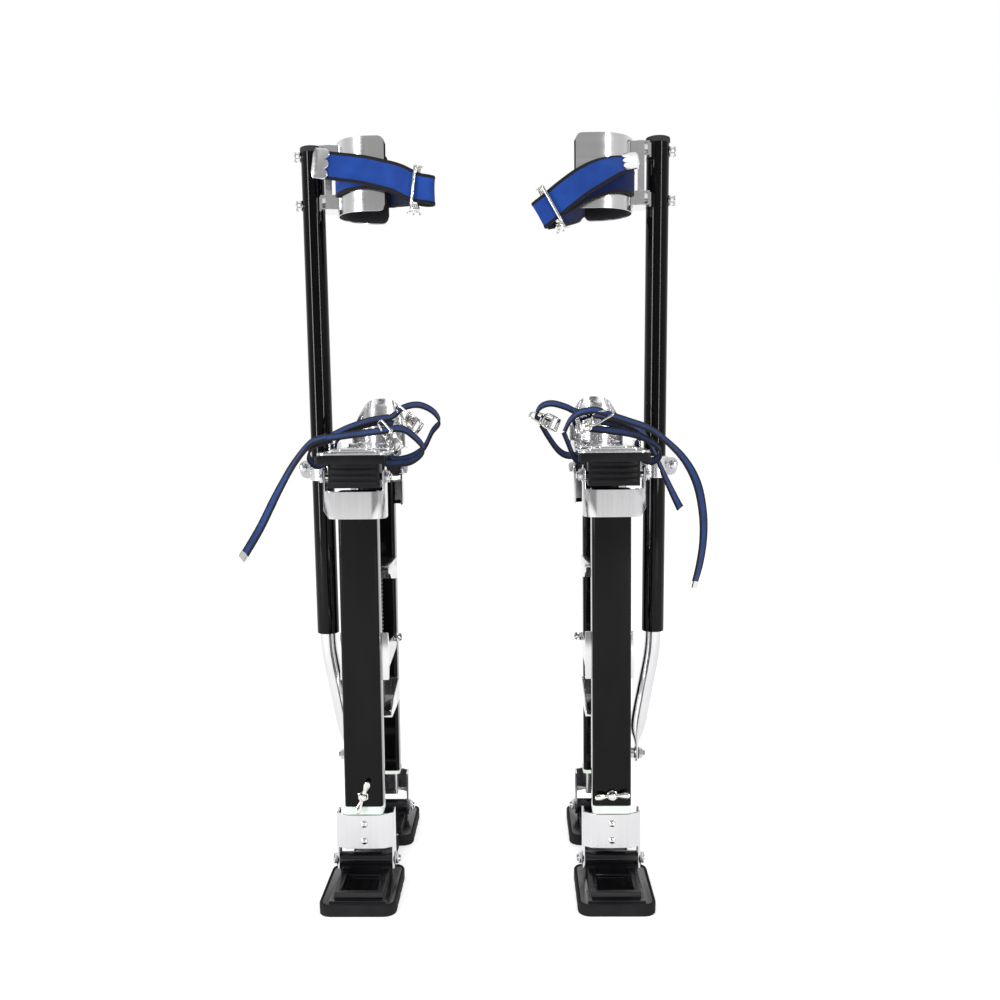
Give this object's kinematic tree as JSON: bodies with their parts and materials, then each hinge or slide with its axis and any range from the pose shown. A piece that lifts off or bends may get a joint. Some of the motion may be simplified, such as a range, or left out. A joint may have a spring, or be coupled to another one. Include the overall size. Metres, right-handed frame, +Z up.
{
  "type": "drywall stilts",
  "caption": "Pair of height-adjustable drywall stilts with sprung twin uprights, strapped foot plates and padded calf cuffs on outboard leg poles.",
  "frame": {"origin": "centre of the pair's footprint, on the floor under the rubber soles", "axes": "+Z up, -Y the toe side, +Y the heel side, +X to the right as seen from the toe side; the stilts are mirror images about x = 0"},
  "size_m": [0.633, 0.34, 1.069],
  "materials": {
    "rubber": "matt black moulded rubber with a fine pebbled grain",
    "casting": "black coated die casting, satin, slightly cast-textured",
    "gloss_black": "gloss black anodised and lacquered aluminium tube",
    "aluminium": "bare brushed aluminium, satin, with fine lengthwise lines",
    "steel": "bright zinc-plated steel",
    "spring": "black enamelled spring steel",
    "foam": "black closed-cell foam lining with a matt knit face",
    "webbing": "royal blue woven webbing with a black edge on each side"
  },
  "bodies": {
    "root": {"left_rubber_sole": "rubber", "left_floor_plate": "casting", "left_front_lower_pivot": "steel", "left_rear_lower_pivot": "steel", "right_rubber_sole": "rubber", "right_floor_plate": "casting", "right_front_lower_pivot": "steel", "right_rear_lower_pivot": "steel"},
    "left_front_lower": {"left_front_lower_bracket": "aluminium", "left_front_inner_tube": "aluminium"},
    "left_front_upper": {"left_front_outer_tube": "gloss_black", "left_front_upper_bracket": "aluminium", "left_front_spring_shelf": "aluminium"},
    "left_wing_bolt": {"left_front_wing_bolt": "steel"},
    "left_platform": {"left_hinge_frame": "casting", "left_foot_plate": "aluminium", "left_front_upper_pivot": "steel", "left_toe_strap": "webbing", "left_ankle_strap": "webbing"},
    "left_heel": {"left_heel_cup": "aluminium"},
    "left_rear_lower": {"left_rear_lower_bracket": "aluminium", "left_rear_inner_tube": "aluminium"},
    "left_rear_upper": {"left_rear_outer_tube": "gloss_black", "left_rear_upper_bracket": "aluminium", "left_rear_spring_frame": "aluminium", "left_upper_spring": "spring", "left_lower_spring": "spring", "left_leg_pole": "gloss_black", "left_strut_tube": "aluminium", "left_yoke_bolt": "aluminium", "left_cuff_mount": "aluminium", "left_calf_cuff": "aluminium", "left_cuff_pad": "foam", "left_calf_strap": "webbing"},
    "right_front_lower": {"right_front_lower_bracket": "aluminium", "right_front_inner_tube": "aluminium"},
    "right_front_upper": {"right_front_outer_tube": "gloss_black", "right_front_upper_bracket": "aluminium", "right_front_spring_shelf": "aluminium"},
    "right_wing_bolt": {"right_front_wing_bolt": "steel"},
    "right_platform": {"right_hinge_frame": "casting", "right_foot_plate": "aluminium", "right_front_upper_pivot": "steel", "right_toe_strap": "webbing", "right_ankle_strap": "webbing"},
    "right_heel": {"right_heel_cup": "aluminium"},
    "right_rear_lower": {"right_rear_lower_bracket": "aluminium", "right_rear_inner_tube": "aluminium"},
    "right_rear_upper": {"right_rear_outer_tube": "gloss_black", "right_rear_upper_bracket": "aluminium", "right_rear_spring_frame": "aluminium", "right_upper_spring": "spring", "right_lower_spring": "spring", "right_leg_pole": "gloss_black", "right_strut_tube": "aluminium", "right_yoke_bolt": "aluminium", "right_cuff_mount": "aluminium", "right_calf_cuff": "aluminium", "right_cuff_pad": "foam", "right_calf_strap": "webbing"}
  },
  "joints": [
    {"name": "left_swing", "type": "hinge", "parent": "root", "child": "left_front_lower", "pos_m": [-0.1717, -0.074, 0.037], "axis": [1, 0, 0], "range_deg": [-10, 10], "stiffness_Nm_per_rad": 700, "deforming": ["left_upper_spring", "left_lower_spring"]},
    {"name": "left_rear_swing", "type": "hinge", "parent": "root", "child": "left_rear_lower", "pos_m": [-0.1717, 0.117, 0.037], "axis": [1, 0, 0], "range_deg": [-10.5, 10.5]},
    {"name": "left_height", "type": "slide", "parent": "left_front_lower", "child": "left_front_upper", "axis": [0, 0, 1], "range_m": [0, 0.406]},
    {"name": "left_rear_height", "type": "slide", "parent": "left_rear_lower", "child": "left_rear_upper", "axis": [0, 0, 1], "range_m": [-0.0005, 0.4065]},
    {"name": "left_platform_tilt", "type": "hinge", "parent": "left_front_upper", "child": "left_platform", "pos_m": [-0.1717, -0.074, 0.575], "axis": [1, 0, 0], "range_deg": [-10.5, 10.5]},
    {"name": "left_wing_turn", "type": "hinge", "parent": "left_front_upper", "child": "left_wing_bolt", "pos_m": [-0.1717, -0.074, 0.134], "axis": [0, 1, 0], "continuous": true},
    {"name": "left_heel_slide", "type": "slide", "parent": "left_platform", "child": "left_heel", "axis": [0, 1, 0], "range_m": [-0.03, 0]},
    {"name": "right_swing", "type": "hinge", "parent": "root", "child": "right_front_lower", "pos_m": [0.1717, -0.074, 0.037], "axis": [1, 0, 0], "range_deg": [-10, 10], "stiffness_Nm_per_rad": 700, "deforming": ["right_upper_spring", "right_lower_spring"]},
    {"name": "right_rear_swing", "type": "hinge", "parent": "root", "child": "right_rear_lower", "pos_m": [0.1717, 0.117, 0.037], "axis": [1, 0, 0], "range_deg": [-10.5, 10.5]},
    {"name": "right_height", "type": "slide", "parent": "right_front_lower", "child": "right_front_upper", "axis": [0, 0, 1], "range_m": [0, 0.406]},
    {"name": "right_rear_height", "type": "slide", "parent": "right_rear_lower", "child": "right_rear_upper", "axis": [0, 0, 1], "range_m": [-0.0005, 0.4065]},
    {"name": "right_platform_tilt", "type": "hinge", "parent": "right_front_upper", "child": "right_platform", "pos_m": [0.1717, -0.074, 0.575], "axis": [1, 0, 0], "range_deg": [-10.5, 10.5]},
    {"name": "right_wing_turn", "type": "hinge", "parent": "right_front_upper", "child": "right_wing_bolt", "pos_m": [0.1717, -0.074, 0.134], "axis": [0, 1, 0], "continuous": true},
    {"name": "right_heel_slide", "type": "slide", "parent": "right_platform", "child": "right_heel", "axis": [0, 1, 0], "range_m": [-0.03, 0]}
  ],
  "couplings": [
    {"joint": "left_rear_swing", "follows": "left_swing", "ratio": 1},
    {"joint": "left_platform_tilt", "follows": "left_swing", "ratio": -1},
    {"joint": "left_rear_height", "follows": "left_height", "ratio": 1},
    {"joint": "right_rear_swing", "follows": "right_swing", "ratio": 1},
    {"joint": "right_platform_tilt", "follows": "right_swing", "ratio": -1},
    {"joint": "right_rear_height", "follows": "right_height", "ratio": 1}
  ]
}
